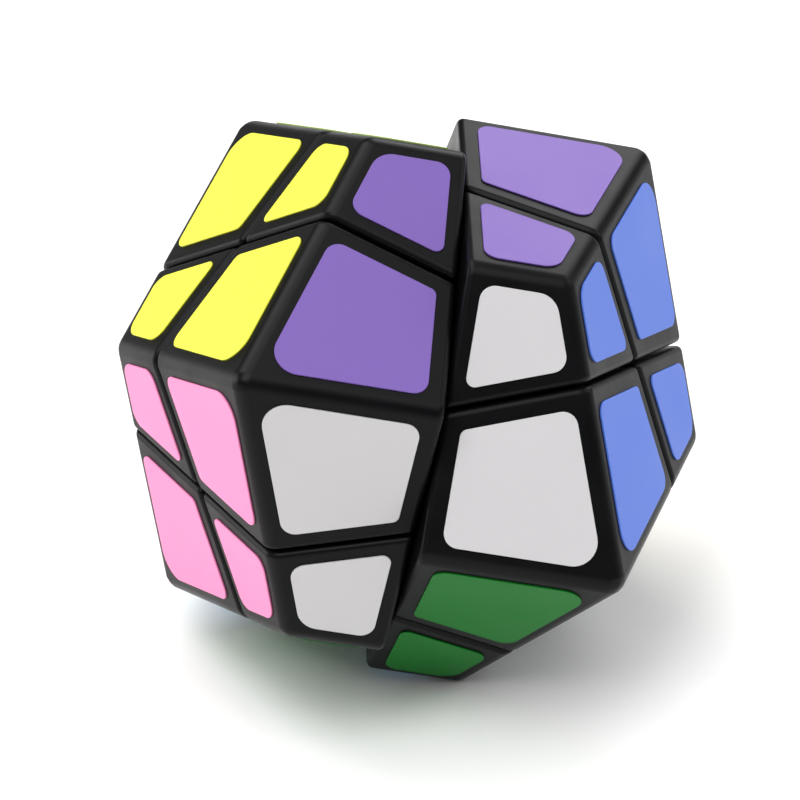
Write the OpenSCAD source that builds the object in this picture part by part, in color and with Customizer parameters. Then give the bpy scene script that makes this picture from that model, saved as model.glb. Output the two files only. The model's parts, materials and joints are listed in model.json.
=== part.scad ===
// Twisty puzzle in the shape of a rhombic dodecahedron, cut by four planes through its centre.
//
// Every plane is square to one of four screws, which all stand in a ball at the middle. A cut runs
// through every piece, so half of the puzzle turns on the screw of that cut. The pieces are built in
// the closed puzzle's own axes: a peak, where four faces meet, is on +X, -X, +Y, -Y, +Z and -Z, and a
// corner, where three faces meet, is on each diagonal of a cube. stand() then lays the half-turned
// puzzle on the three points that it rests on, with +Z up and the first screw's axis seen along +X.

/* [Overall] */
// Distance between two opposite faces of the closed puzzle
across_flats = 60; // [50:1:72]
// Angle that the turned half stands away from closed
turn_deg = 30; // [24:1:36]
// Rounding radius of the outer edges
edge_r = 2.2; // [1.2:0.1:3]

/* [Shells] */
// Wall thickness of the hollow outer shells
shell_wall = 1.8; // [1.2:0.1:2.4]
// Gap between two neighbouring pieces, face to face
cut_gap = 0.4; // [0.3:0.05:0.7]
// Thickness of the plate that closes a shell from inside
plate_t = 2; // [1.2:0.1:2.6]
// Clearance between a plate and the shell walls that it snaps between
snap_fit = 0.03; // [0.02:0.01:0.1]

/* [Stickers] */
// Thickness of a sticker
sticker_t = 0.2; // [0.1:0.05:0.4]
// Bare plastic between a peak piece's sticker and the cuts
peak_cut_margin = 2.5; // [1.6:0.1:2.8]
// Bare plastic between a corner piece's sticker and the cuts
corner_cut_margin = 2.1; // [1.6:0.1:2.8]
// Bare plastic between a sticker and the sharp outline of the outer edges
edge_margin = 2; // [1.4:0.1:2.4]
// Corner radius of a sticker at the outer tip of its facelet
sticker_tip_r = 2.8; // [1:0.1:4]
// Corner radius of a sticker at its two side corners
sticker_side_r = 1.8; // [0.6:0.1:2.4]
// Corner radius of a sticker where the cuts cross
sticker_cross_r = 1; // [0.4:0.1:1.6]

/* [Retaining layers] */
// Outer radius of the layer in which the pieces hook under each other
hook_r = 20; // [18:0.5:21]
// Thickness of that layer
hook_t = 3.5; // [2.6:0.1:4.2]
// How far, in degrees, a hook reaches under its neighbour
hook_reach = 10; // [8:0.5:12]
// Inner radius of the feet, which slide round the core
foot_r = 12; // [11.5:0.1:13]
// Gap between sliding surfaces inside
run_gap = 0.3; // [0.2:0.05:0.5]

/* [Core and screws] */
// Depth of the flat round each screw, below the ball of the core
core_flat_depth = 0.7; // [0.5:0.05:0.9]
// Radius of a screw's shank
screw_r = 1.5; // [1.2:0.05:1.7]
// Distance of a screw's point from the centre
screw_start = 4.5; // [4:0.1:6]
// Radius of a screw's head and of its washer
screw_head_r = 2.8; // [2.4:0.1:2.9]
// Thickness of a screw's head
screw_head_t = 1.8; // [1.2:0.1:2.4]
// Width of the cross recess in a screw's head
recess_w = 0.8; // [0.5:0.1:1.2]
// Depth of that recess
recess_d = 1; // [0.6:0.1:1.2]
// Thickness of a washer
washer_t = 0.5; // [0.3:0.05:0.8]
// Radial clearance between a screw and the hub that turns on it
screw_fit = 0.08; // [0.05:0.01:0.1]
// Depth by which a screw's thread bites into the core
thread_bite = 0.1; // [0.05:0.01:0.2]
// Thickness of the hub floor that a spring presses on
hub_floor = 2; // [1.5:0.1:2.4]
// Radial clearance round the spring and the screw head in their pocket
pocket_fit = 0.4; // [0.3:0.05:0.5]
// Thickness of the hub's wall round that pocket
barrel_wall = 1.5; // [1.2:0.1:1.8]
// Length of a spring as fitted
spring_len = 5; // [4.5:0.1:5.5]
// Diameter of the spring wire
wire_d = 0.7; // [0.5:0.05:0.9]
// Gap between the spring, the washer and what each of them presses on
seat_gap = 0.04; // [0.02:0.01:0.1]
// Turns of a spring
spring_turns = 4; // [3:1:5]

/* [Hidden] */
$fn = 64;
HULL_FN = 24;
WIRE_FN = 8;
ARC_STEPS = 6;
AXES = [[1, 1, 1], [1, -1, -1], [-1, 1, -1], [-1, -1, 1]];
PEAKS = [[1, 0, 0], [0, 1, 0], [0, 0, 1], [0, 0, -1], [0, -1, 0], [-1, 0, 0]];
CORNERS = [for (x = [-1, 1], y = [-1, 1], z = [-1, 1]) [x, y, z]];

// The faces, with the colour of the stickers on each
FACES = [
    ["yellow", [-1, -1, 0], "#F5F26A"],
    ["pink", [0, -1, -1], "#F7A1D2"],
    ["orange", [-1, 0, -1], "#F08A2C"],
    ["purple", [0, -1, 1], "#9A7BC8"],
    ["white", [1, -1, 0], "#DCDADA"],
    ["green", [1, 0, -1], "#1F6B34"],
    ["lime", [-1, 0, 1], "#B2DE62"],
    ["red", [-1, 1, 0], "#C62B2F"],
    ["sky", [0, 1, -1], "#7CC6E8"],
    ["blue", [1, 0, 1], "#6F8BE0"],
    ["grey", [1, 1, 0], "#8C8F94"],
    ["cream", [0, 1, 1], "#EFE3B4"]
];
BLACK = "#26262A";

face_r = across_flats / 2;
unit_r = face_r / sqrt(2);
reach = 4 * face_r;
inset_scale = 1 - edge_r / face_r;
half_gap = cut_gap / 2;
half_run = run_gap / 2;
plate_r = hook_r + plate_t;
plate_inset = half_gap + shell_wall + snap_fit;
hook_in_r = hook_r - hook_t;
cap_deg = 90 - hook_reach;
// A plane square to one screw comes this near, in degrees, to the next screw's axis
axis_clear_deg = acos(-1 / 3) - 90;
// A hub keeps this many degrees away from that plane
hub_clear_deg = 2;
core_r = foot_r - run_gap;
core_flat = core_r - core_flat_depth;
hub_start = core_flat + half_run;
hub_end = plate_r - plate_t / 2;
pocket_start = foot_r + hub_floor;
pocket_r = screw_head_r + pocket_fit;
barrel_r = pocket_r + barrel_wall;
spring_r = screw_head_r - wire_d / 2;
washer_start = pocket_start + spring_len + 2 * seat_gap;
head_start = washer_start + washer_t + seat_gap;
shank_end = head_start + screw_head_t / 2;

// Half of the puzzle that a direction lies in: 1 is the turned half and -1 the fixed one
function half_of(dir) = dir * AXES[0] > 0 ? 1 : -1;
function signs_of(dir) = [for (n = AXES) dir * n > 0 ? 1 : -1];
function unit(v) = v / norm(v);
function turned(p, axis = unit(AXES[0]), a = -turn_deg) =
    p * cos(a) + cross(axis, p) * sin(a) + axis * (axis * p) * (1 - cos(a));

// The inset outline, which a ball of edge_r rolls round: peaks, corners and the ends of the cut edges
peak_out = 2 * unit_r * inset_scale;
corner_out = unit_r * inset_scale;
outline = concat(PEAKS * peak_out, CORNERS * corner_out);
// The first cut crosses six edges, each a third of the way from its corner to its peak
edge_cuts = [
    for (c = CORNERS, p = PEAKS)
        if (c * p == 1 && half_of(c) != half_of(p)) c * corner_out + (p * peak_out - c * corner_out) / 3
];
fixed_outline = concat([for (v = outline) if (half_of(v) < 0) v], edge_cuts);
turned_outline = [for (v = concat([for (v = outline) if (half_of(v) > 0) v], edge_cuts)) turned(v)];

// The puzzle rests on the end of one cut edge of the fixed half and on one edge of the turned half
rest_a = [2, 2, -4] / 3 * corner_out;
rest_b = turned([0, peak_out, 0]);
rest_c = turned([1, 1, -1] * corner_out);
rest_normal = cross(rest_b - rest_a, rest_c - rest_a);
down = unit(rest_normal * sign(rest_normal * rest_a));
row_z = -down;
row_x = unit(AXES[0] - row_z * (AXES[0] * row_z));
row_y = cross(row_z, row_x);
ROW = [row_x, row_y, row_z];
laid = [for (v = concat(fixed_outline, turned_outline)) ROW * v];
box_lo = [for (i = [0 : 2]) min([for (v = laid) v[i]]) - edge_r];
box_hi = [for (i = [0 : 2]) max([for (v = laid) v[i]]) + edge_r];
centre = [-(box_lo.x + box_hi.x) / 2, -(box_lo.y + box_hi.y) / 2, -box_lo.z];

HALVES = [-1, 1];
HALF_NAMES = ["fixed", "turned"];
SCREW_CORNERS = AXES;
FREE_CORNERS = -AXES;

// The vertices of a face that lie in one half, peaks and corners
function touches(v, face) = v * face == (v * v == 1 ? 1 : 2);
function tips(vertices, face, half) = [for (v = vertices) if (touches(v, face) && half_of(v) == half) v];

// Lays what is drawn in the puzzle's own axes on the three points that it rests on
module stand() {
    multmatrix([for (i = [0 : 2]) concat(ROW[i], [centre[i]])]) children();
}

// Places what belongs to a piece: the turned half stands away from closed by turn_deg
module in_half(half) {
    stand() rotate(a = half > 0 ? -turn_deg : 0, v = AXES[0]) children();
}

// Turns +Z onto a direction
module aim(dir) {
    rotate([0, acos(dir.z / norm(dir)), atan2(dir.y, dir.x)]) children();
}

// What lies further than away from the centre, along a direction
module beyond(dir, away) {
    aim(dir) translate([-reach, -reach, away]) cube([2 * reach, 2 * reach, reach]);
}

// The region of one piece between the four cutting planes, drawn back from them by away
module wedge(signs, away) {
    intersection_for (i = [0 : 3]) beyond(signs[i] * AXES[i], away);
}

// What lies within cap_deg of a screw's axis, drawn back from that cone by away
module cap(axis, away) {
    aim(axis) translate([0, 0, away / sin(cap_deg)])
        cylinder(h = plate_r, r1 = 0, r2 = plate_r * tan(cap_deg));
}

// The region of one piece between the cones that bound the hook layer
module cap_wedge(signs, away) {
    difference() {
        intersection_for (i = [for (k = [0 : 3]) if (signs[k] > 0) k]) cap(AXES[i], away);
        for (i = [for (k = [0 : 3]) if (signs[k] < 0) k]) cap(AXES[i], -away);
    }
}

module rounded_body() {
    hull() for (v = outline) translate(v) sphere(edge_r, $fn = HULL_FN);
}

// A rhombic dodecahedron with sharp edges is where three square bars cross
module sharp_body(flat_r) {
    intersection() {
        rotate([0, 0, 45]) cube([2 * flat_r, 2 * flat_r, reach], center = true);
        rotate([45, 0, 0]) cube([reach, 2 * flat_r, 2 * flat_r], center = true);
        rotate([0, 45, 0]) cube([2 * flat_r, reach, 2 * flat_r], center = true);
    }
}

// Outer shell of a piece: outer walls and cut walls, open towards the core
module shell(signs) {
    difference() {
        intersection() {
            rounded_body();
            wedge(signs, half_gap);
        }
        sphere(hook_r + half_run);
        intersection() {
            sharp_body(face_r - shell_wall);
            wedge(signs, half_gap + shell_wall);
        }
    }
}

// Plate that closes a shell and carries what is under it
module plate(signs) {
    difference() {
        intersection() {
            sphere(plate_r);
            wedge(signs, plate_inset);
        }
        sphere(hook_r + half_run);
    }
}

// Hook that reaches under the neighbouring shells
module hook(signs) {
    difference() {
        intersection() {
            sphere(hook_r - half_run);
            cap_wedge(signs, half_run);
        }
        sphere(hook_in_r + half_run);
    }
}

// Foot that slides round the core, under the neighbours' hooks
module foot(signs) {
    difference() {
        intersection() {
            sphere(hook_in_r - half_run);
            wedge(signs, half_run);
        }
        sphere(foot_r);
    }
}

// Stem that runs through the three layers and makes them one piece
module stem(signs) {
    difference() {
        intersection() {
            sphere(plate_r - run_gap);
            wedge(signs, plate_inset + run_gap);
            cap_wedge(signs, run_gap);
        }
        sphere(foot_r + run_gap);
    }
}

module layered_foot(signs) {
    plate(signs);
    hook(signs);
    foot(signs);
    stem(signs);
}

// Barrel of a hub, which turns on its screw. Outside the hook layer it stays clear of the shell walls
module barrel(axis) {
    intersection() {
        aim(axis) intersection() {
            translate([0, 0, hub_start]) cylinder(h = hub_end - hub_start, r = barrel_r);
            cylinder(h = hub_end, r1 = 0, r2 = hub_end * tan(axis_clear_deg - hub_clear_deg));
        }
        union() {
            sphere(hook_r - half_run);
            wedge(signs_of(axis), plate_inset);
        }
    }
}

// Disc of a hub, which holds the feet of three peaks
module disc(axis) {
    disc_deg = axis_clear_deg + hook_reach - asin(run_gap / hook_in_r);
    difference() {
        intersection() {
            sphere(hook_r - half_run);
            aim(axis) cylinder(h = hook_r, r1 = 0, r2 = hook_r * tan(disc_deg));
        }
        sphere(hook_in_r + half_run);
    }
}

module hub(axis) {
    difference() {
        union() {
            plate(signs_of(axis));
            barrel(axis);
            disc(axis);
        }
        aim(axis) cylinder(h = reach, r = screw_r + screw_fit);
        aim(axis) translate([0, 0, pocket_start]) cylinder(h = reach, r = pocket_r);
    }
}

module core() {
    color("#D8D5CC") stand() difference() {
        sphere(core_r);
        for (n = AXES) {
            beyond(n, core_flat);
            aim(n) translate([0, 0, screw_start]) cylinder(h = reach, r = screw_r - thread_bite);
        }
    }
}

module axle_screws() {
    color("#B9BCC0") stand() for (n = AXES) aim(n) difference() {
        union() {
            translate([0, 0, screw_start]) cylinder(h = shank_end - screw_start, r = screw_r);
            translate([0, 0, head_start]) cylinder(h = screw_head_t, r = screw_head_r);
        }
        for (a = [0, 90]) rotate(a) translate([0, 0, head_start + screw_head_t])
            cube([2 * screw_r, recess_w, 2 * recess_d], center = true);
    }
}

module washers() {
    color("#C9CCD0") stand() for (n = AXES) aim(n) translate([0, 0, washer_start]) difference() {
        cylinder(h = washer_t, r = screw_head_r);
        translate([0, 0, -washer_t]) cylinder(h = 3 * washer_t, r = screw_r + screw_fit);
    }
}

// Compression springs, each a rod wound round its screw
module springs() {
    rise = spring_len - wire_d - 2 * seat_gap;
    color("#9EA1A6") stand() for (n = AXES) aim(n)
        translate([0, 0, pocket_start + seat_gap + wire_d / 2])
            linear_extrude(rise, twist = -360 * spring_turns, slices = 12 * spring_turns, $fn = WIRE_FN)
                translate([spring_r, 0]) circle(wire_d / 2, $fn = WIRE_FN);
}

module screw_corner_shell(i) {
    color(BLACK) in_half(half_of(SCREW_CORNERS[i])) shell(signs_of(SCREW_CORNERS[i]));
}

module screw_corner_hub(i) {
    color(BLACK) in_half(half_of(SCREW_CORNERS[i])) hub(SCREW_CORNERS[i]);
}

module free_corner_shell(i) {
    color(BLACK) in_half(half_of(FREE_CORNERS[i])) shell(signs_of(FREE_CORNERS[i]));
}

module free_corner_foot(i) {
    color(BLACK) in_half(half_of(FREE_CORNERS[i])) layered_foot(signs_of(FREE_CORNERS[i]));
}

module peak_shell(i) {
    color(BLACK) in_half(half_of(PEAKS[i])) shell(signs_of(PEAKS[i]));
}

module peak_foot(i) {
    color(BLACK) in_half(half_of(PEAKS[i])) layered_foot(signs_of(PEAKS[i]));
}

// A facelet is a kite, from the crossing of the cuts at the face's centre to its outer tip along +X
function peak_kite() =
    [[0, 0], [face_r, -face_r * sqrt(2)] / 3, [face_r, 0], [face_r, face_r * sqrt(2)] / 3];
function corner_kite() =
    [[0, 0], [face_r * sqrt(2), -face_r] / 3, [face_r / sqrt(2), 0], [face_r * sqrt(2), face_r] / 3];

// The kite drawn back from the cuts and from the outer edges. Its side corners are square, so the
// two margins simply add up there.
function inset_kite(kite, cut_margin) =
    let (
        side = kite[3],
        tip = kite[2],
        cross_half = atan2(side.y, side.x),
        tip_half = atan2(side.y, tip.x - side.x),
        from_cut = cut_margin * [sin(cross_half), -cos(cross_half)],
        from_edge = edge_margin * [-sin(tip_half), -cos(tip_half)],
        in_side = side + from_cut + from_edge
    )
    [
        [cut_margin / sin(cross_half), 0],
        [in_side.x, -in_side.y],
        [tip.x - edge_margin / sin(tip_half), 0],
        in_side
    ];

// The outline with each corner replaced by an arc of its own radius
function rounded(points, radii) = [
    for (i = [0 : len(points) - 1])
        let (
            n = len(points),
            back = unit(points[(i + n - 1) % n] - points[i]),
            on = unit(points[(i + 1) % n] - points[i]),
            half = acos(back * on) / 2,
            arc_centre = points[i] + unit(back + on) * radii[i] / sin(half),
            from = points[i] + back * radii[i] / tan(half) - arc_centre,
            start = atan2(from.y, from.x)
        )
        for (s = [0 : ARC_STEPS])
            let (a = start + s * (180 - 2 * half) / ARC_STEPS)
            arc_centre + radii[i] * [cos(a), sin(a)]
];

module sticker(kite, cut_margin) {
    radii = [sticker_cross_r, sticker_side_r, sticker_tip_r, sticker_side_r];
    linear_extrude(sticker_t) polygon(rounded(inset_kite(kite, cut_margin), radii));
}

// Puts what is drawn on +Z onto a face, with +X towards a vertex of that face
module on(face, toward) {
    z = unit(face);
    x = unit(toward);
    y = cross(z, x);
    multmatrix([for (i = [0 : 2]) [x[i], y[i], z[i], z[i] * face_r]]) children();
}

module stickers(f, h) {
    face = FACES[f][1];
    color(FACES[f][2]) in_half(HALVES[h]) {
        for (v = tips(PEAKS, face, HALVES[h]))
            on(face, 2 * v - face) sticker(peak_kite(), peak_cut_margin);
        for (v = tips(CORNERS, face, HALVES[h]))
            on(face, v - face) sticker(corner_kite(), corner_cut_margin);
    }
}

core();
axle_screws();
washers();
springs();
for (i = [0 : 3]) {
    screw_corner_shell(i);
    screw_corner_hub(i);
    free_corner_shell(i);
    free_corner_foot(i);
}
for (i = [0 : 5]) {
    peak_shell(i);
    peak_foot(i);
}
for (f = [0 : len(FACES) - 1], h = [0, 1])
    stickers(f, h);
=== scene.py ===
import json
import math

import bmesh
import bpy
from mathutils import Matrix, Vector


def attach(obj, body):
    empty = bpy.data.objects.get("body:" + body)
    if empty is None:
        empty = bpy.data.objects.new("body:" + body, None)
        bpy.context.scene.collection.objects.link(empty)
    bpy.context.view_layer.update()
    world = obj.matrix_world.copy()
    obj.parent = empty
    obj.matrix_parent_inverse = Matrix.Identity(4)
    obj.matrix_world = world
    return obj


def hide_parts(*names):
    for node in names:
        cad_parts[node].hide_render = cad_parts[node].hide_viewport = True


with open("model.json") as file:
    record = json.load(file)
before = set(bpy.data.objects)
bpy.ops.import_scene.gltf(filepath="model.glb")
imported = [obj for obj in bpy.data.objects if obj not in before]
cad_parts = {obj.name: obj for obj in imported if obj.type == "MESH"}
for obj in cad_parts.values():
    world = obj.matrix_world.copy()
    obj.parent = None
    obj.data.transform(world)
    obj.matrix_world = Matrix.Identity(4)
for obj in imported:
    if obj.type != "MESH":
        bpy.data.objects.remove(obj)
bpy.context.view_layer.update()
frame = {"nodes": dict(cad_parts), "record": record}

# ---------------------------------------------------------------- sizes, in metres

MM = 0.001
EDGE_R = 2.2 * MM          # rounding of the outer edges
CUT_R = 0.8 * MM           # rounding where an outer face meets a cut
CUT_GAP = 0.4 * MM         # gap between neighbouring pieces
SHELL_WALL = 1.8 * MM
OPENING_R = 20.15 * MM     # a shell is open towards the core inside this radius
PEAK_CUT_MARGIN = 2.5 * MM     # bare plastic between a peak piece's sticker and a cut
CORNER_CUT_MARGIN = 2.1 * MM   # and between a corner piece's sticker and a cut
EDGE_MARGIN = 2.0 * MM     # bare plastic between a sticker and an outer edge
CROSS_R = 1.0 * MM         # corner radii of a sticker: where the cuts cross,
SIDE_R = 1.8 * MM          # at its two sides,
TIP_R = 2.8 * MM           # and at the outer tip
VINYL_ROLL = 0.06 * MM     # how far the cut edge of the vinyl rolls over
HALF_BEND = math.radians(30)   # half of the angle by which the surface bends at an outer edge
CREASE = math.radians(38)      # an edge of a shell that bends by more than this stays sharp

# ---------------------------------------------------------------- the puzzle's own axes
# A peak is where four faces meet, and a corner is where three do. Four of the corners hold a screw.

AXES = [Vector(v) for v in ((1, 1, 1), (1, -1, -1), (-1, 1, -1), (-1, -1, 1))]
PEAKS = [Vector(v) for v in ((1, 0, 0), (0, 1, 0), (0, 0, 1), (0, 0, -1), (0, -1, 0), (-1, 0, 0))]
SCREW_CORNERS = AXES
FREE_CORNERS = [-v for v in AXES]
CORNERS = SCREW_CORNERS + FREE_CORNERS

# Each face's colour name, normal and vinyl colour
FACES = {
    "yellow": ((-1, -1, 0), "EFF14C"),
    "pink": ((0, -1, -1), "FA8EC0"),
    "orange": ((-1, 0, -1), "E8781F"),
    "purple": ((0, -1, 1), "745AA5"),
    "white": ((1, -1, 0), "CAC8CA"),
    "green": ((1, 0, -1), "016D1B"),
    "lime": ((-1, 0, 1), "A2BB64"),
    "red": ((-1, 1, 0), "B8191F"),
    "sky": ((0, 1, -1), "66B0DC"),
    "blue": ((1, 0, 1), "5678D8"),
    "grey": ((1, 1, 0), "85888D"),
    "cream": ((0, 1, 1), "DCCD96"),
}
HALVES = ("fixed_half", "turned_half")


def half_of(direction):
    return "turned_half" if direction.dot(AXES[0]) > 0 else "fixed_half"


def is_peak(vertex):
    return vertex in PEAKS


def lies_on(vertex, normal):
    """Whether a face with this normal ends at this peak or corner."""
    return vertex.dot(normal) == (1 if is_peak(vertex) else 2)


def triad(first, second):
    """Three square axes as a matrix's columns: along first, then towards second."""
    a = first.normalized()
    b = (second - a * second.dot(a)).normalized()
    return Matrix((a, b, a.cross(b))).transposed()


# Where each half stands, from the joint and from the two faces that the record names
record = frame["record"]
joint = record["behaviour"]["joints"][0]
mounts = {m["name"]: m for m in record["mounts"]}
centre = Vector(joint["pos_m"])
first_screw = -Vector(joint["axis"])
fixed_face = Vector(mounts["fixed_half_face"]["axis"])
turned_face = Vector(mounts["turned_half_face"]["axis"])
pink_normal, blue_normal = Vector(FACES["pink"][0]), Vector(FACES["blue"][0])
stand = {
    "fixed_half": triad(first_screw, fixed_face) @ triad(AXES[0], pink_normal).transposed(),
    "turned_half": triad(first_screw, turned_face) @ triad(AXES[0], blue_normal).transposed(),
}
# Takes a shape from the puzzle's own axes to its place in one half
carry = {h: Matrix.Translation(centre) @ m.to_4x4() for h, m in stand.items()}

pink_peak = frame["nodes"]["peak_shell_5"].data.vertices
face_r = max((v.co - centre).dot(fixed_face) for v in pink_peak)
unit_r = face_r / math.sqrt(2)
sticker_t = (Vector(mounts["fixed_half_face"]["pos_m"]) - centre).dot(fixed_face) - face_r


# ---------------------------------------------------------------- small tools

def srgb(code):
    """A hex colour as linear RGBA."""
    parts = [int(code[i:i + 2], 16) / 255 for i in (0, 2, 4)]
    return [c / 12.92 if c <= 0.04045 else ((c + 0.055) / 1.055) ** 2.4 for c in parts] + [1.0]


def add(tree, kind, settings=None, **links):
    """Adds a node. settings go to its properties or to its inputs by name or number; links join sockets."""
    node = tree.nodes.new(kind)
    for key, value in (settings or {}).items():
        if isinstance(key, str) and hasattr(node, key) and key not in node.inputs:
            setattr(node, key, value)
        else:
            node.inputs[key].default_value = value
    for key, socket in links.items():
        target = int(key[1:]) if key[0] == "i" and key[1:].isdigit() else key.replace("_", " ")
        tree.links.new(socket, node.inputs[target])
    return node


def per(size_mm):
    """The scale of a noise whose lumps are about size_mm across."""
    return 1 / (size_mm * MM)


def new_material(name):
    mat = bpy.data.materials.new(name)
    mat.use_nodes = True
    mat.node_tree.nodes.clear()
    return mat, mat.node_tree


def finish_surface(tree, shader):
    add(tree, "ShaderNodeOutputMaterial", Surface=shader.outputs[0])


def new_object(name, mesh):
    obj = bpy.data.objects.new(name, mesh)
    bpy.context.scene.collection.objects.link(obj)
    return obj


def mesh_from(bm, name):
    mesh = bpy.data.meshes.new(name)
    bm.to_mesh(mesh)
    bm.free()
    return mesh


def baked(obj, name):
    """The evaluated object as a plain mesh. The object itself is removed."""
    deps = bpy.context.evaluated_depsgraph_get()
    mesh = bpy.data.meshes.new_from_object(obj.evaluated_get(deps), preserve_all_data_layers=True,
                                           depsgraph=deps)
    mesh.name = name
    bpy.data.objects.remove(obj)
    return mesh


# ---------------------------------------------------------------- camera

VIEW_AZIMUTH = math.radians(-0.85)
VIEW_ELEVATION = math.radians(28.96)
VIEW_ROLL = math.radians(-2.96)
VIEW_DISTANCE = 458 * MM
VIEW_OFFSET = (-1.22 * MM, -0.87 * MM)   # the aim, right of and above the puzzle's centre
LENS = 167.8


def make_camera():
    forward = Vector((
        -math.sin(VIEW_AZIMUTH) * math.cos(VIEW_ELEVATION),
        math.cos(VIEW_AZIMUTH) * math.cos(VIEW_ELEVATION),
        -math.sin(VIEW_ELEVATION),
    ))
    level = Vector((math.cos(VIEW_AZIMUTH), math.sin(VIEW_AZIMUTH), 0))
    right = Matrix.Rotation(-VIEW_ROLL, 3, forward) @ level
    up = right.cross(forward)
    aim = centre + right * VIEW_OFFSET[0] + up * VIEW_OFFSET[1]
    cam = bpy.data.objects.new("camera", bpy.data.cameras.new("camera"))
    bpy.context.scene.collection.objects.link(cam)
    cam.data.sensor_width = 36
    cam.data.lens = LENS
    cam.data.clip_start = 0.01
    turn = Matrix((right, up, -forward)).transposed().to_4x4()
    cam.matrix_world = Matrix.Translation(aim - forward * VIEW_DISTANCE) @ turn
    bpy.context.scene.camera = cam


# ---------------------------------------------------------------- materials

NOISE_SPAN = {"From Min": 0.3, "From Max": 0.7}   # where nearly all of a noise lies


def black_abs():
    """ABS from a fine-blasted mould: near black and satin, rubbed smoother by hands along the edges."""
    mat, tree = new_material("black_abs_satin_moulded")
    at = add(tree, "ShaderNodeTexCoord").outputs["Object"]
    cloud = add(tree, "ShaderNodeTexNoise", {"Scale": per(7.14), "Detail": 3.0, "Roughness": 0.55},
                Vector=at)
    grain = add(tree, "ShaderNodeTexNoise", {"Scale": per(0.385), "Detail": 2.0, "Roughness": 0.6},
                Vector=at)
    rub = add(tree, "ShaderNodeAttribute", {"attribute_name": "rub"})
    tint = add(tree, "ShaderNodeMix", {"data_type": "RGBA", 6: srgb("060608"), 7: srgb("0D0D0F")},
               i0=cloud.outputs["Fac"])
    sheen = add(tree, "ShaderNodeMapRange", {**NOISE_SPAN, "To Min": 0.36, "To Max": 0.46},
                Value=cloud.outputs["Fac"])
    smoother = add(tree, "ShaderNodeMath", {"operation": "MULTIPLY_ADD", 1: -0.08}, i0=rub.outputs["Fac"],
                   i2=sheen.outputs["Result"])
    bump = add(tree, "ShaderNodeBump", {"Strength": 0.06, "Distance": 0.05 * MM},
               Height=grain.outputs["Fac"])
    shader = add(tree, "ShaderNodeBsdfPrincipled", {"IOR": 1.54, "Specular IOR Level": 0.1},
                 Base_Color=tint.outputs[2], Roughness=smoother.outputs[0], Normal=bump.outputs[0])
    finish_surface(tree, shader)
    return mat


def vinyl(name, code):
    """Self-adhesive PVC film, coloured through: an even colour under a satin, faintly rippled coat."""
    mat, tree = new_material(name + "_pvc_film_satin")
    at = add(tree, "ShaderNodeTexCoord").outputs["Object"]
    cloud = add(tree, "ShaderNodeTexNoise", {"Scale": per(11.1), "Detail": 2.0}, Vector=at)
    ripple = add(tree, "ShaderNodeTexNoise", {"Scale": per(1.54), "Detail": 1.0}, Vector=at)
    base = srgb(code)
    dark = [c * 0.965 for c in base[:3]] + [1.0]
    tint = add(tree, "ShaderNodeMix", {"data_type": "RGBA", 6: dark, 7: base}, i0=cloud.outputs["Fac"])
    sheen = add(tree, "ShaderNodeMapRange", {**NOISE_SPAN, "To Min": 0.4, "To Max": 0.48},
                Value=cloud.outputs["Fac"])
    bump = add(tree, "ShaderNodeBump", {"Strength": 0.05, "Distance": 0.05 * MM},
               Height=ripple.outputs["Fac"])
    shader = add(tree, "ShaderNodeBsdfPrincipled", {"IOR": 1.5, "Specular IOR Level": 0.2},
                 Base_Color=tint.outputs[2], Roughness=sheen.outputs["Result"], Normal=bump.outputs[0])
    finish_surface(tree, shader)
    return mat


def moulded_nylon():
    """Unfilled nylon in its natural colour: milky, a little waxy, light goes in slightly."""
    mat, tree = new_material("nylon_natural_moulded")
    at = add(tree, "ShaderNodeTexCoord").outputs["Object"]
    cloud = add(tree, "ShaderNodeTexNoise", {"Scale": per(4.55), "Detail": 2.0}, Vector=at)
    tint = add(tree, "ShaderNodeMix", {"data_type": "RGBA", 6: srgb("CFCABC"), 7: srgb("E2DED2")},
               i0=cloud.outputs["Fac"])
    bump = add(tree, "ShaderNodeBump", {"Strength": 0.08, "Distance": 0.05 * MM},
               Height=cloud.outputs["Fac"])
    skin = {"IOR": 1.53, "Roughness": 0.42, "Subsurface Weight": 0.1, "Subsurface Scale": 1.5 * MM}
    shader = add(tree, "ShaderNodeBsdfPrincipled", skin, Base_Color=tint.outputs[2], Normal=bump.outputs[0])
    finish_surface(tree, shader)
    return mat


def steel(name, code, roughness, streak_mm):
    """Steel with a thin plated or drawn skin: fine streaks spread its highlights."""
    mat, tree = new_material(name)
    at = add(tree, "ShaderNodeTexCoord").outputs["Object"]
    lines = add(tree, "ShaderNodeTexNoise", {"Scale": per(streak_mm), "Detail": 2.0}, Vector=at)
    sheen = add(tree, "ShaderNodeMapRange", {"To Min": roughness - 0.06, "To Max": roughness + 0.08},
                Value=lines.outputs["Fac"])
    bump = add(tree, "ShaderNodeBump", {"Strength": 0.05, "Distance": 0.02 * MM},
               Height=lines.outputs["Fac"])
    shader = add(tree, "ShaderNodeBsdfPrincipled", {"Base Color": srgb(code), "Metallic": 1.0},
                 Roughness=sheen.outputs["Result"], Normal=bump.outputs[0])
    finish_surface(tree, shader)
    return mat


def pale_floor():
    """Matt paper sweep, almost white."""
    mat, tree = new_material("paper_sweep_matt")
    at = add(tree, "ShaderNodeTexCoord").outputs["Object"]
    cloud = add(tree, "ShaderNodeTexNoise", {"Scale": per(83.3), "Detail": 4.0}, Vector=at)
    tint = add(tree, "ShaderNodeMix", {"data_type": "RGBA", 6: srgb("F1F1F0"), 7: srgb("F5F5F4")},
               i0=cloud.outputs["Fac"])
    shader = add(tree, "ShaderNodeBsdfPrincipled", {"Roughness": 0.9, "Specular IOR Level": 0.2},
                 Base_Color=tint.outputs[2])
    finish_surface(tree, shader)
    return mat


# ---------------------------------------------------------------- shells

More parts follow.
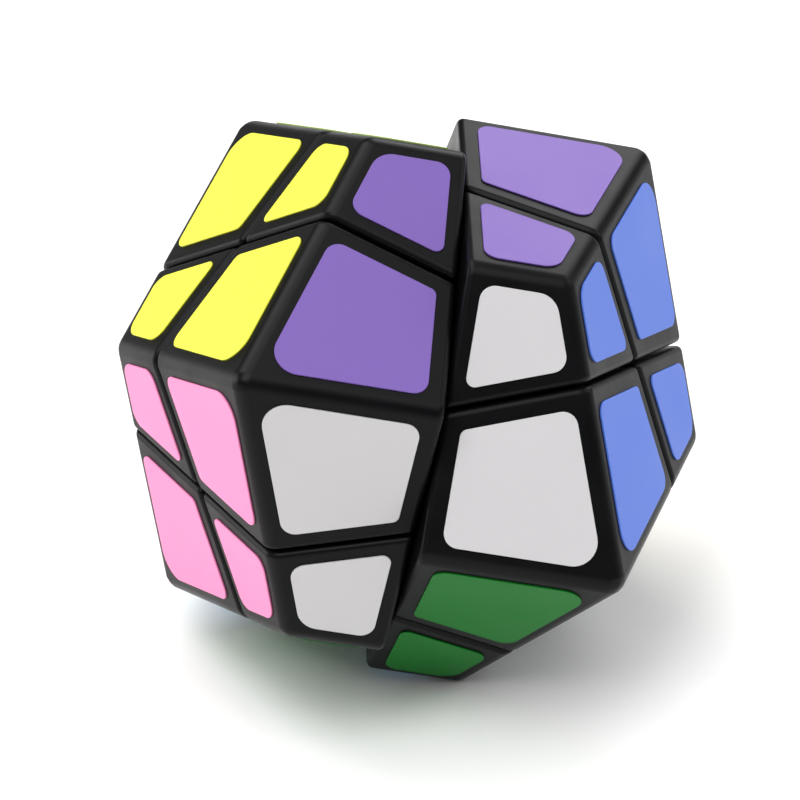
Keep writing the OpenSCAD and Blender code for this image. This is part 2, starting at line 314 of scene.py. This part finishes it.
def sharp_dodecahedron(flat_r):
    """A rhombic dodecahedron whose faces are flat_r from its centre."""
    bm = bmesh.new()
    unit = flat_r / math.sqrt(2)
    verts = [(v, bm.verts.new(2 * unit * v)) for v in PEAKS]
    verts += [(v, bm.verts.new(unit * v)) for v in CORNERS]
    for normal, _ in FACES.values():
        n = Vector(normal)
        side = n.orthogonal().normalized()
        other = n.normalized().cross(side)
        ring = [bv for v, bv in verts if lies_on(v, n)]
        bm.faces.new(sorted(ring, key=lambda bv: math.atan2(bv.co.dot(other), bv.co.dot(side))))
    bmesh.ops.recalc_face_normals(bm, faces=bm.faces[:])
    return bm


def keep_wedge(bm, vertex, away):
    """Cuts away what lies outside one piece's region between the four cuts, drawn back by away."""
    for axis in AXES:
        n = axis.normalized() * (1 if axis.dot(vertex) > 0 else -1)
        found = bmesh.ops.bisect_plane(bm, geom=bm.verts[:] + bm.edges[:] + bm.faces[:], dist=1e-7,
                                       plane_co=n * away, plane_no=n, clear_inner=True)
        edges = [e for e in found["geom_cut"] if isinstance(e, bmesh.types.BMEdge)]
        if edges:
            bmesh.ops.holes_fill(bm, edges=edges, sides=0)
    bmesh.ops.recalc_face_normals(bm, faces=bm.faces[:])


def cut_faces(bm):
    """The faces that lie on a cut."""
    normals = [a.normalized() for a in AXES]
    return [f for f in bm.faces if any(abs(abs(f.normal.dot(n)) - 1) < 1e-4 for n in normals)]


def hollow_tool(vertex):
    """What is taken out of a piece: the ball that the mechanism fills, and the room inside its walls."""
    ball = bmesh.new()
    bmesh.ops.create_icosphere(ball, subdivisions=5, radius=OPENING_R)
    room = sharp_dodecahedron(face_r - SHELL_WALL)
    keep_wedge(room, vertex, CUT_GAP / 2 + SHELL_WALL)
    return [new_object("tool", mesh_from(b, "tool")) for b in (ball, room)]


def mark_rub(mesh):
    """Stores how far each point is down the rounding of an edge, where hands rub."""
    crest = EDGE_R * (1 / math.cos(HALF_BEND) - 1)
    normals = [Vector(n).normalized() for n, _ in FACES.values()]
    rub = mesh.attributes.new("rub", "FLOAT", "POINT")
    for i, v in enumerate(mesh.vertices):
        drop = face_r - max(v.co.dot(n) for n in normals)
        rub.data[i].value = min(1.0, drop / crest) if drop < 3 * crest else 0.0


def moulding(vertex):
    """One hollow shell in the puzzle's own axes, with rounded edges."""
    bm = sharp_dodecahedron(face_r)
    bmesh.ops.bevel(bm, geom=bm.edges[:], offset=EDGE_R * math.tan(HALF_BEND), offset_type="OFFSET",
                    segments=8, profile=0.5, affect="EDGES")
    keep_wedge(bm, vertex, CUT_GAP / 2)
    edges = {e for f in cut_faces(bm) for e in f.edges}
    bmesh.ops.bevel(bm, geom=list(edges), offset=CUT_R, offset_type="OFFSET", segments=4, profile=0.5,
                    affect="EDGES")
    bmesh.ops.recalc_face_normals(bm, faces=bm.faces[:])
    for f in bm.faces:
        f.smooth = True
    solid = new_object("solid", mesh_from(bm, "solid"))
    tools = hollow_tool(vertex)
    for tool in tools:
        mod = solid.modifiers.new("hollow", "BOOLEAN")
        mod.operation, mod.solver, mod.object = "DIFFERENCE", "EXACT", tool
    hollowed = new_object("hollowed", baked(solid, "hollowed"))
    for tool in tools:
        bpy.data.objects.remove(tool)
    hollowed.data.set_sharp_from_angle(angle=CREASE)
    mod = hollowed.modifiers.new("normals", "WEIGHTED_NORMAL")
    mod.keep_sharp = True
    mesh = baked(hollowed, "moulding")
    mark_rub(mesh)
    return mesh


def seat(vertex):
    """The turn that carries the first peak or corner to this one and leaves the cuts where they are."""
    if is_peak(vertex):
        second = Vector((vertex.z, vertex.x, vertex.y))
        return Matrix((vertex, second, vertex.cross(second))).transposed()
    flip = Matrix.Diagonal(vertex)
    if vertex.x * vertex.y * vertex.z < 0:
        flip = flip @ Matrix(((0, 1, 0), (1, 0, 0), (0, 0, 1)))
    return flip


def make_shells(material):
    peak, corner = moulding(PEAKS[0]), moulding(CORNERS[0])
    kinds = (
        ("peak", PEAKS, peak),
        ("screw_corner", SCREW_CORNERS, corner),
        ("free_corner", FREE_CORNERS, corner),
    )
    for kind, vertices, mesh in kinds:
        for i, vertex in enumerate(vertices, 1):
            half = half_of(vertex)
            copy = mesh.copy()
            copy.transform(carry[half] @ seat(vertex).to_4x4())
            copy.materials.clear()
            copy.materials.append(material)
            piece = new_object(f"{kind}_moulding_{i}", copy)
            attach(piece, half)
            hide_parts(f"{kind}_shell_{i}")


# ---------------------------------------------------------------- stickers

def facelet_kite(on_peak):
    """A facelet's sharp outline on its face: from the crossing of the cuts to its outer tip along +X."""
    third = face_r / 3
    if on_peak:
        side, tip = Vector((third, third * math.sqrt(2))), face_r
    else:
        side, tip = Vector((third * math.sqrt(2), third)), unit_r
    return side, tip


def sticker_outline(on_peak):
    """The facelet's kite drawn back from the cuts and the edges. The side corners are square."""
    side, tip = facelet_kite(on_peak)
    cut_margin = PEAK_CUT_MARGIN if on_peak else CORNER_CUT_MARGIN
    cross_half = math.atan2(side.y, side.x)
    tip_half = math.atan2(side.y, tip - side.x)
    inner = side + cut_margin * Vector((math.sin(cross_half), -math.cos(cross_half))) \
        + EDGE_MARGIN * Vector((-math.sin(tip_half), -math.cos(tip_half)))
    return [
        (Vector((cut_margin / math.sin(cross_half), 0)), CROSS_R),
        (Vector((inner.x, -inner.y)), SIDE_R),
        (Vector((tip - EDGE_MARGIN / math.sin(tip_half), 0)), TIP_R),
        (inner, SIDE_R),
    ]


def rounded(corners, steps=10):
    """The outline with each corner replaced by an arc of its own radius."""
    points = []
    for i, (p, r) in enumerate(corners):
        back = (corners[i - 1][0] - p).normalized()
        on = (corners[(i + 1) % len(corners)][0] - p).normalized()
        half = back.angle(on) / 2
        middle = p + (back + on).normalized() * (r / math.sin(half))
        start = p + back * (r / math.tan(half)) - middle
        first = math.atan2(start.y, start.x)
        for s in range(steps + 1):
            a = first + s * (math.pi - 2 * half) / steps
            points.append(middle + r * Vector((math.cos(a), math.sin(a))))
    return points


def sticker_shape(on_peak):
    """One sticker on +Z, its cut edge rolled over at the top."""
    bm = bmesh.new()
    face = bm.faces.new([bm.verts.new((p.x, p.y, 0)) for p in rounded(sticker_outline(on_peak))])
    grown = bmesh.ops.extrude_face_region(bm, geom=[face])
    top = [v for v in grown["geom"] if isinstance(v, bmesh.types.BMVert)]
    bmesh.ops.translate(bm, verts=top, vec=(0, 0, sticker_t))
    rim = [e for e in bm.edges if all(v in set(top) for v in e.verts)]
    bmesh.ops.bevel(bm, geom=rim, offset=VINYL_ROLL, offset_type="OFFSET", segments=3, profile=0.5,
                    affect="EDGES")
    bmesh.ops.recalc_face_normals(bm, faces=bm.faces[:])
    for f in bm.faces:
        f.smooth = len(f.verts) == 4
    return new_object("sticker_shape", mesh_from(bm, "sticker_shape"))


def set_out_tree():
    """Geometry nodes that set a shape on each point, turned by the point's own rotation: the first shape
    where the point's first_shape is true, and the second one elsewhere."""
    tree = bpy.data.node_groups.new("set_out_on_points", "GeometryNodeTree")
    inputs = {"Points": "Geometry", "First shape": "Object", "Second shape": "Object", "Finish": "Material"}
    for name, kind in inputs.items():
        tree.interface.new_socket(name, in_out="INPUT", socket_type="NodeSocket" + kind)
    tree.interface.new_socket("Pieces", in_out="OUTPUT", socket_type="NodeSocketGeometry")
    given = add(tree, "NodeGroupInput")
    turn = add(tree, "GeometryNodeInputNamedAttribute", {"data_type": "QUATERNION", "Name": "turn"})
    first = add(tree, "GeometryNodeInputNamedAttribute", {"data_type": "BOOLEAN", "Name": "first_shape"})
    rest = add(tree, "FunctionNodeBooleanMath", {"operation": "NOT"}, i0=first.outputs["Attribute"])
    joined = add(tree, "GeometryNodeJoinGeometry")
    for shape, chosen in (("First shape", first.outputs["Attribute"]), ("Second shape", rest.outputs[0])):
        source = add(tree, "GeometryNodeObjectInfo", {"As Instance": True}, Object=given.outputs[shape])
        laid = add(tree, "GeometryNodeInstanceOnPoints", Points=given.outputs["Points"], Selection=chosen,
                   Instance=source.outputs["Geometry"], Rotation=turn.outputs["Attribute"])
        tree.links.new(laid.outputs["Instances"], joined.inputs[0])
    real = add(tree, "GeometryNodeRealizeInstances", Geometry=joined.outputs[0])
    dressed = add(tree, "GeometryNodeSetMaterial", Geometry=real.outputs[0],
                  Material=given.outputs["Finish"])
    add(tree, "NodeGroupOutput", Pieces=dressed.outputs[0])
    return tree


def set_out(name, tree, spots, shapes, material):
    """One mesh with a shape on each spot: a place, a 3x3 turn, and whether it takes the first shape."""
    mesh = bpy.data.meshes.new(name)
    mesh.from_pydata([place for place, _, _ in spots], [], [])
    turn = mesh.attributes.new("turn", "QUATERNION", "POINT")
    for i, (_, matrix, _) in enumerate(spots):
        turn.data[i].value = matrix.to_quaternion()
    first = mesh.attributes.new("first_shape", "BOOLEAN", "POINT")
    for i, (_, _, is_first) in enumerate(spots):
        first.data[i].value = is_first
    holder = new_object(name, mesh)
    mod = holder.modifiers.new("set_out", "NODES")
    mod.node_group = tree
    values = {"First shape": shapes[0], "Second shape": shapes[-1], "Finish": material}
    for item in tree.interface.items_tree:
        if item.in_out == "INPUT" and item.name in values:
            mod[item.identifier] = values[item.name]
    return baked(holder, name)


def facelet_spots(normal, half):
    """The facelets of a face that lie in one half: place, turn and whether it belongs to a peak."""
    n = Vector(normal)
    z = n.normalized()
    spots = []
    for vertex in PEAKS + CORNERS:
        if not lies_on(vertex, n) or half_of(vertex) != half:
            continue
        on_peak = is_peak(vertex)
        toward = (2 * vertex - n if on_peak else vertex - n).normalized()
        turn = stand[half] @ Matrix((toward, z.cross(toward), z)).transposed()
        spots.append((carry[half] @ (z * face_r), turn, on_peak))
    return spots


def make_stickers(tree):
    shapes = [sticker_shape(True), sticker_shape(False)]
    for colour, (normal, code) in FACES.items():
        film = vinyl(colour, code)
        for half in HALVES:
            spots = facelet_spots(normal, half)
            if not spots:
                continue
            side = half.split("_")[0]
            mesh = set_out(f"{colour}_vinyl_{side}", tree, spots, shapes, film)
            piece = new_object(f"{colour}_vinyl_{side}", mesh)
            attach(piece, half)
            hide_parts(f"{colour}_stickers_{side}")
    for shape in shapes:
        bpy.data.objects.remove(shape)


# ---------------------------------------------------------------- what is inside

def make_inside(plastic):
    """The hidden pieces are the frame's own, each in its finish."""
    nylon = moulded_nylon()
    zinc = steel("steel_zinc_plated", "B9BCC0", 0.3, 1.11)
    wire = steel("spring_steel_drawn", "9EA1A6", 0.28, 0.667)
    finishes = {"core": nylon, "axle_screws": zinc, "washers": zinc, "springs": wire}
    for name, node in frame["nodes"].items():
        if node.hide_render:
            continue   # a finished piece stands in for it
        node.data.materials.clear()
        node.data.materials.append(finishes.get(name, plastic))


# ---------------------------------------------------------------- floor and light

FLOOR_HALF = 5.0       # metres from the floor's middle to its sides
SOFTBOX_SIZE = 1.1     # side of each square light, in metres
SOFTBOX_AWAY = 2.0     # its distance from the puzzle, in metres
ROOM_LIGHT = 0.05      # strength of the even light from all round
# Name, azimuth from the front towards the right, elevation, and power in watts
SOFTBOXES = (
    ("left", 255, 10, 20.0),
    ("right", 100, 30, 10.0),
    ("behind", 156, 32, 15.5),
    ("back_left", 228, 58, 17.0),
    ("front_right", 36, 55, 10.0),
    ("front_left", 324, 55, 22.5),
    ("top", 0, 88, 13.5),
)


def add_softbox(name, azimuth, elevation, power):
    """A soft square light aimed at the puzzle."""
    data = bpy.data.lights.new(name, "AREA")
    data.shape, data.size, data.energy = "SQUARE", SOFTBOX_SIZE, power
    light = bpy.data.objects.new(name, data)
    bpy.context.scene.collection.objects.link(light)
    toward = Vector((math.sin(azimuth) * math.cos(elevation), -math.cos(azimuth) * math.cos(elevation),
                     math.sin(elevation)))
    light.location = centre + toward * SOFTBOX_AWAY
    light.rotation_euler = (-toward).to_track_quat("-Z", "Y").to_euler()


def make_studio():
    bm = bmesh.new()
    bmesh.ops.create_grid(bm, x_segments=1, y_segments=1, size=FLOOR_HALF)
    floor = new_object("floor", mesh_from(bm, "floor"))
    floor.data.materials.append(pale_floor())
    world = bpy.data.worlds.new("studio")
    world.use_nodes = True
    world.node_tree.nodes["Background"].inputs["Color"].default_value = srgb("FFFFFF")
    world.node_tree.nodes["Background"].inputs["Strength"].default_value = ROOM_LIGHT
    bpy.context.scene.world = world
    for name, azimuth, elevation, power in SOFTBOXES:
        add_softbox(name, math.radians(azimuth), math.radians(elevation), power)
    bpy.context.scene.view_settings.view_transform = "Standard"


make_camera()
plastic = black_abs()
make_shells(plastic)
laying = set_out_tree()
make_stickers(laying)
make_inside(plastic)
make_studio()
